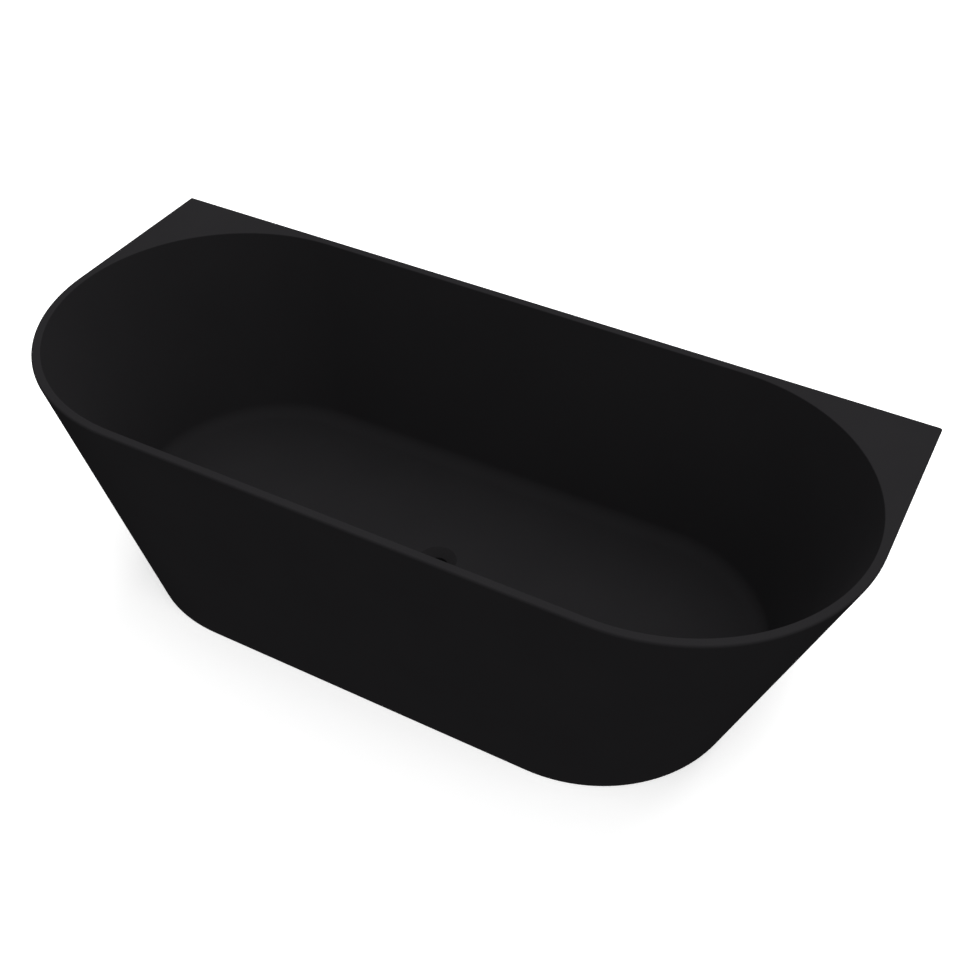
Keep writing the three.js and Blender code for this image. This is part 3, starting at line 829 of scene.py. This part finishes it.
def waste_cross(finish):
    """Hub on four arms across the throat."""
    low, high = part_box("waste_cross")
    bm = bmesh.new()
    lathe(bm, [
        (HUB_BORE, low.z, 0.0003),
        (0.008, low.z, 0.0008),
        (0.008, high.z, 0.0008),
        (HUB_BORE, high.z, 0.0003),
    ], ring=True, segments=48)
    for i in range(4):
        angle = math.pi / 2 * i
        arm = Vector((math.cos(angle), math.sin(angle), 0))
        ends = [arm * reach + Vector((0, 0, high.z - 0.003)) for reach in (0.007, high.x)]
        tube(bm, ends, [0.0022, 0.0016], sides=12)
    finish_piece("cross_and_hub", bm, [finish], ["waste_cross"])


def cartridge(finish):
    """Click mechanism's sleeve, ribbed for grip."""
    low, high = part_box("plug_cartridge")
    corners = [(HUB_BORE, high.z, 0.0002), (HUB_BORE, low.z, 0.0002), (SLEEVE_RADIUS, low.z, 0.0005)]
    for i in range(SLEEVE_RIBS):
        z = low.z + 0.002 + 0.003 * i
        corners += [
            (SLEEVE_RADIUS, z, 0),
            (SLEEVE_RIB, z + 0.0005, 0.0001),
            (SLEEVE_RIB, z + 0.0012, 0.0001),
            (SLEEVE_RADIUS, z + 0.0017, 0),
        ]
    corners += [(SLEEVE_RADIUS, high.z, 0.0005)]
    bm = bmesh.new()
    lathe(bm, corners, ring=True, segments=48)
    finish_piece("click_cartridge", bm, [finish], ["plug_cartridge"])


def plug(finish, rubber, steel):
    """Cap, seal ring and stem."""
    bm = bmesh.new()
    lathe(bm, [
        (0, PLUG_BOTTOM, 0),
        (PLUG_CORE, PLUG_BOTTOM, 0.0004),
        (PLUG_CORE, PLUG_STEP, 0),
        (PLUG_RADIUS, PLUG_STEP, 0.0004),
        (PLUG_RADIUS, PLUG_EDGE, 0.0010),
        (0.0180, PLUG_SHOULDER, 0.0080),
        (0, PLUG_TOP, 0),
    ], segments=128, steps=6)
    finish_piece("plug_cap", bm, [finish], ["plug_head"], body="plug")
    low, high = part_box("plug_seal_ring")
    wire = (high.z - low.z) / 2
    corners = [(SEAL_BORE, low.z), (high.x, low.z), (high.x, high.z), (SEAL_BORE, high.z)]
    bm = bmesh.new()
    lathe(bm, [(radius, z, wire * 0.98) for radius, z in corners], ring=True)
    finish_piece("seal_ring", bm, [rubber], ["plug_seal_ring"], body="plug")
    low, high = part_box("plug_stem")
    bm = bmesh.new()
    lathe(bm, [
        (0, low.z, 0),
        (STEM_RADIUS, low.z, 0.0008),
        (STEM_RADIUS, low.z + 0.006, 0.0002),
        (STEM_GROOVE, low.z + 0.0065, 0.0002),
        (STEM_GROOVE, low.z + 0.0085, 0.0002),
        (STEM_RADIUS, low.z + 0.009, 0.0002),
        (STEM_RADIUS, high.z, 0),
        (0, high.z, 0),
    ], segments=48)
    finish_piece("stem", bm, [steel], ["plug_stem"], body="plug")


def plug_spring(steel):
    """Coil between the hub and the cap; the real one stretches as the plug lifts, but this one is made at
    one length and rides on no body.
    """
    low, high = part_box("plug_spring")
    radius, wire, turns, steps = 0.0063, 0.00055, 3, 48
    rise = high.z - low.z - 2 * wire
    count = turns * steps
    path = []
    for i in range(count + 1):
        angle = 2 * math.pi * i / steps
        z = low.z + wire + rise * i / count
        path.append((radius * math.cos(angle), radius * math.sin(angle), z))
    bm = bmesh.new()
    tube(bm, path, [wire] * len(path), sides=12)
    spring = finish_piece("lifting_spring", bm, [steel], ["plug_spring"], body=None)
    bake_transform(spring)


# ---------------------------------------------------------------- materials


def material(name, **sockets):
    """Principled material; each keyword names a socket, with _ for a space, and gives its plain value."""
    made = bpy.data.materials.new(name)
    made.use_nodes = True
    shader = made.node_tree.nodes["Principled BSDF"]
    for socket, value in sockets.items():
        shader.inputs[socket.replace("_", " ")].default_value = value
    return made, made.node_tree.nodes, made.node_tree.links, shader


def noise(nodes, links, scale, detail=3.0, distortion=0.0, stretch=(1, 1, 1)):
    """Noise in the object's own space, and its socket."""
    place = nodes.new("ShaderNodeTexCoord")
    mapping = nodes.new("ShaderNodeMapping")
    mapping.inputs["Scale"].default_value = stretch
    texture = nodes.new("ShaderNodeTexNoise")
    texture.inputs["Scale"].default_value = scale
    texture.inputs["Detail"].default_value = detail
    texture.inputs["Distortion"].default_value = distortion
    links.new(place.outputs["Object"], mapping.inputs["Vector"])
    links.new(mapping.outputs["Vector"], texture.inputs["Vector"])
    return texture.outputs["Fac"]


def tones(nodes, links, source, low, high, band=(0.3, 0.7)):
    """Colour that runs from low to high as a source crosses a band."""
    ramp = nodes.new("ShaderNodeValToRGB")
    for element, position, colour in zip(ramp.color_ramp.elements, band, (low, high)):
        element.position = position
        element.color = (*colour, 1)
    links.new(source, ramp.inputs["Fac"])
    return ramp.outputs["Color"]


def spanned(nodes, links, source, low, high):
    """Value that runs from low to high as a source runs from 0 to 1."""
    span = nodes.new("ShaderNodeMapRange")
    span.inputs["To Min"].default_value = low
    span.inputs["To Max"].default_value = high
    links.new(source, span.inputs["Value"])
    return span.outputs["Result"]


def relief(nodes, links, shader, source, height, strength):
    """Raises a surface's shading by a source."""
    bump = nodes.new("ShaderNodeBump")
    bump.inputs["Strength"].default_value = strength
    bump.inputs["Distance"].default_value = height
    links.new(source, bump.inputs["Height"])
    links.new(bump.outputs["Normal"], shader.inputs["Normal"])


def grained(name, low, high, roughness, cloud=9.0, grain=900.0, height=0.0001, strength=0.2, **sockets):
    """Material whose colour and roughness drift slowly and whose surface has a fine grain."""
    made, nodes, links, shader = material(name, **sockets)
    drift = noise(nodes, links, cloud, 4.0)
    links.new(tones(nodes, links, drift, low, high), shader.inputs["Base Color"])
    links.new(spanned(nodes, links, drift, *roughness), shader.inputs["Roughness"])
    relief(nodes, links, shader, noise(nodes, links, grain, 2.0), height, strength)
    return made


def reinforced():
    """Resin and chopped glass on the hidden side of the acrylic."""
    made, nodes, links, shader = material("glass_reinforced_resin")
    strands = noise(nodes, links, 90.0, 9.0, 1.4)
    patches = noise(nodes, links, 6.0, 3.0)
    colour = nodes.new("ShaderNodeMix")
    colour.data_type = "RGBA"
    colour.blend_type = "MULTIPLY"
    colour.inputs["Factor"].default_value = 0.6
    glass = tones(nodes, links, strands, (0.16, 0.15, 0.12), (0.34, 0.33, 0.28), (0.38, 0.62))
    links.new(glass, colour.inputs["A"])
    links.new(tones(nodes, links, patches, (0.55, 0.55, 0.55), (1, 1, 1)), colour.inputs["B"])
    links.new(colour.outputs["Result"], shader.inputs["Base Color"])
    links.new(spanned(nodes, links, strands, 0.35, 0.65), shader.inputs["Roughness"])
    relief(nodes, links, shader, strands, 0.0012, 0.7)
    return made


def plywood():
    """Birch ply: long grain on the faces and alternating veneers on the edges."""
    made, nodes, links, shader = material("sealed_plywood")
    veneer = 0.00253
    grain = noise(nodes, links, 14.0, 6.0, 0.6, (1, 14, 14))
    fibres = noise(nodes, links, 120.0, 3.0, 0.0, (0.5, 9, 9))
    place = nodes.new("ShaderNodeTexCoord")
    split = nodes.new("ShaderNodeSeparateXYZ")
    links.new(place.outputs["Object"], split.inputs["Vector"])
    layer = nodes.new("ShaderNodeMath")
    layer.operation = "PINGPONG"
    layer.inputs[1].default_value = veneer
    links.new(split.outputs["Z"], layer.inputs[0])
    step = nodes.new("ShaderNodeMapRange")
    step.inputs["From Min"].default_value = veneer * 0.45
    step.inputs["From Max"].default_value = veneer * 0.55
    links.new(layer.outputs["Value"], step.inputs["Value"])
    colour = nodes.new("ShaderNodeMix")
    colour.data_type = "RGBA"
    colour.blend_type = "MULTIPLY"
    colour.inputs["Factor"].default_value = 1.0
    face = tones(nodes, links, grain, (0.33, 0.20, 0.10), (0.50, 0.34, 0.18), (0.35, 0.65))
    links.new(face, colour.inputs["A"])
    plies = tones(nodes, links, step.outputs["Result"], (0.62, 0.58, 0.54), (1, 1, 1), (0, 1))
    links.new(plies, colour.inputs["B"])
    links.new(colour.outputs["Result"], shader.inputs["Base Color"])
    links.new(spanned(nodes, links, fibres, 0.55, 0.8), shader.inputs["Roughness"])
    relief(nodes, links, shader, fibres, 0.0003, 0.4)
    return made


def galvanised():
    """Zinc-coated steel with a frosted spangle."""
    made, nodes, links, shader = material("galvanised_steel", Metallic=0.9)
    place = nodes.new("ShaderNodeTexCoord")
    spangle = nodes.new("ShaderNodeTexVoronoi")
    spangle.inputs["Scale"].default_value = 110.0
    spangle.inputs["Randomness"].default_value = 1.0
    links.new(place.outputs["Object"], spangle.inputs["Vector"])
    facet = nodes.new("ShaderNodeSeparateColor")
    links.new(spangle.outputs["Color"], facet.inputs["Color"])
    value = facet.outputs["Red"]
    crystals = tones(nodes, links, value, (0.36, 0.37, 0.38), (0.56, 0.57, 0.58), (0, 1))
    links.new(crystals, shader.inputs["Base Color"])
    links.new(spanned(nodes, links, value, 0.36, 0.55), shader.inputs["Roughness"])
    relief(nodes, links, shader, noise(nodes, links, 350.0), 0.0002, 0.3)
    return made


# ---------------------------------------------------------------- stage

CAMERA_AIM = Vector((0.0605, 0.0780, 0.3265))
CAMERA_AZIMUTH = math.radians(27.32)
CAMERA_ELEVATION = math.radians(41.52)
CAMERA_ROLL = math.radians(1.09)
CAMERA_DISTANCE = 2.8230
CAMERA_LENS = 50.15

STAGE_HALF_SIZE = 9
STAGE_TOP = -0.0005
STAGE_GLOW = 0.5
DOME_STRENGTH = 0.34
LIGHT_SPREAD = math.radians(55)
SOFT_LIGHTS = {
    "high_behind": (180, 51, 2.02),
    "high_front": (0, 70, 0.72),
    "right": (60, 45, 0.52),
}


def camera():
    """Camera at a distance from what it aims at, turned and tilted about it."""
    turn = Matrix.Rotation(CAMERA_AZIMUTH, 4, "Z")
    tilt = Matrix.Rotation(math.pi / 2 - CAMERA_ELEVATION, 4, "X")
    roll = Matrix.Rotation(CAMERA_ROLL, 4, "Z")
    back = Matrix.Translation((0, 0, CAMERA_DISTANCE))
    data = bpy.data.cameras.new("camera")
    data.lens = CAMERA_LENS
    data.sensor_width = 36
    made = bpy.data.objects.new("camera", data)
    made.matrix_world = Matrix.Translation(CAMERA_AIM) @ turn @ tilt @ back @ roll
    bpy.context.scene.collection.objects.link(made)
    bpy.context.scene.camera = made


def stage_floor():
    """Pale floor just under the bath, which glows a little but doesn't light the bath."""
    bm = bmesh.new()
    bmesh.ops.create_grid(bm, x_segments=1, y_segments=1, size=STAGE_HALF_SIZE)
    mesh = bpy.data.meshes.new("stage_floor")
    bm.to_mesh(mesh)
    bm.free()
    floor = bpy.data.objects.new("stage_floor", mesh)
    floor.location.z = STAGE_TOP
    bpy.context.scene.collection.objects.link(floor)
    paint, _, _, shader = material("stage_paint", Roughness=0.9)
    shader.inputs["Base Color"].default_value = (0.95, 0.95, 0.95, 1)
    shader.inputs["Specular IOR Level"].default_value = 0.1
    shader.inputs["Emission Color"].default_value = (1, 1, 1, 1)
    shader.inputs["Emission Strength"].default_value = STAGE_GLOW
    mesh.materials.append(paint)
    floor.visible_diffuse = False
    floor.visible_glossy = False


def sky():
    """Even white dome."""
    world = bpy.data.worlds.new("studio")
    bpy.context.scene.world = world
    world.use_nodes = True
    background = world.node_tree.nodes["Background"]
    background.inputs["Color"].default_value = (1, 1, 1, 1)
    background.inputs["Strength"].default_value = DOME_STRENGTH


def soft_lights():
    """Broad soft lights, each at a compass direction from the front and a height above the floor."""
    for name, (azimuth, elevation, strength) in SOFT_LIGHTS.items():
        data = bpy.data.lights.new(name, "SUN")
        data.energy = strength
        data.angle = LIGHT_SPREAD
        light = bpy.data.objects.new(name, data)
        turn = Matrix.Rotation(math.radians(azimuth), 4, "Z")
        tilt = Matrix.Rotation(math.radians(90 - elevation), 4, "X")
        light.matrix_world = turn @ tilt
        bpy.context.scene.collection.objects.link(light)


# ---------------------------------------------------------------- the build

bpy.context.scene.view_settings.view_transform = "Standard"
camera()
stage_floor()
sky()
soft_lights()

ACRYLIC = grained(
    "matte_black_acrylic", (0.0194, 0.0187, 0.0200), (0.0205, 0.0198, 0.0211), (0.56, 0.64),
    cloud=7.0, Specular_IOR_Level=0.0,
)
RESIN = reinforced()
WOOD = plywood()
STEEL = galvanised()
ZINC = grained(
    "bright_zinc", (0.52, 0.51, 0.47), (0.64, 0.63, 0.60), (0.26, 0.42),
    cloud=120.0, grain=1800.0, Metallic=1.0,
)
PLASTIC = grained(
    "moulded_nylon_black", (0.022, 0.022, 0.023), (0.030, 0.030, 0.031), (0.5, 0.65), cloud=60.0,
)
COATED = grained(
    "matte_black_coated_brass", (0.0180, 0.0173, 0.0183), (0.0190, 0.0183, 0.0193), (0.5, 0.6),
    cloud=40.0, Specular_IOR_Level=0.0,
)
RUBBER = grained(
    "moulded_rubber", (0.012, 0.012, 0.012), (0.018, 0.018, 0.018), (0.75, 0.9),
    cloud=80.0, grain=1500.0,
)
NYLON = grained(
    "natural_nylon", (0.62, 0.60, 0.54), (0.72, 0.70, 0.64), (0.4, 0.55),
    cloud=70.0, Subsurface_Weight=0.1,
)
BRIGHT = grained(
    "drawn_stainless_steel", (0.56, 0.56, 0.57), (0.66, 0.66, 0.67), (0.2, 0.34),
    cloud=150.0, grain=2500.0, Metallic=1.0,
)

tub_shell(ACRYLIC, RESIN)
skirt_shell(ACRYLIC, RESIN)
base_board(WOOD)
for side in ("front", "rear"):
    frame_rail(side, STEEL)
for name in ("left", "middle_left", "middle_right", "right"):
    frame_cross(name, STEEL)
for name in sorted(NODES):
    if name.startswith("rail_bolt"):
        rail_bolt(name, ZINC)
    elif name.startswith("bracket_screw"):
        bracket_screw(name, ZINC)
    elif name.startswith("skirt_bracket"):
        NODES[name].material_slots[0].material = STEEL
    elif name.startswith("rear_deck_board"):
        NODES[name].material_slots[0].material = WOOD
for place in PLACES:
    foot_rod(place, ZINC)
    lock_nut(place, ZINC)
    foot_pad(place, PLASTIC)
waste_body(COATED)
back_nut(COATED)
washer("waste_flange_gasket", "flange_gasket", RUBBER, 0.0004, GASKET_BORE)
washer("waste_lower_seal", "lower_seal", RUBBER, 0.0008)
washer("waste_slip_washer", "slip_washer", NYLON, 0.0003)
waste_cross(COATED)
cartridge(NYLON)
plug(COATED, RUBBER, BRIGHT)
plug_spring(BRIGHT)
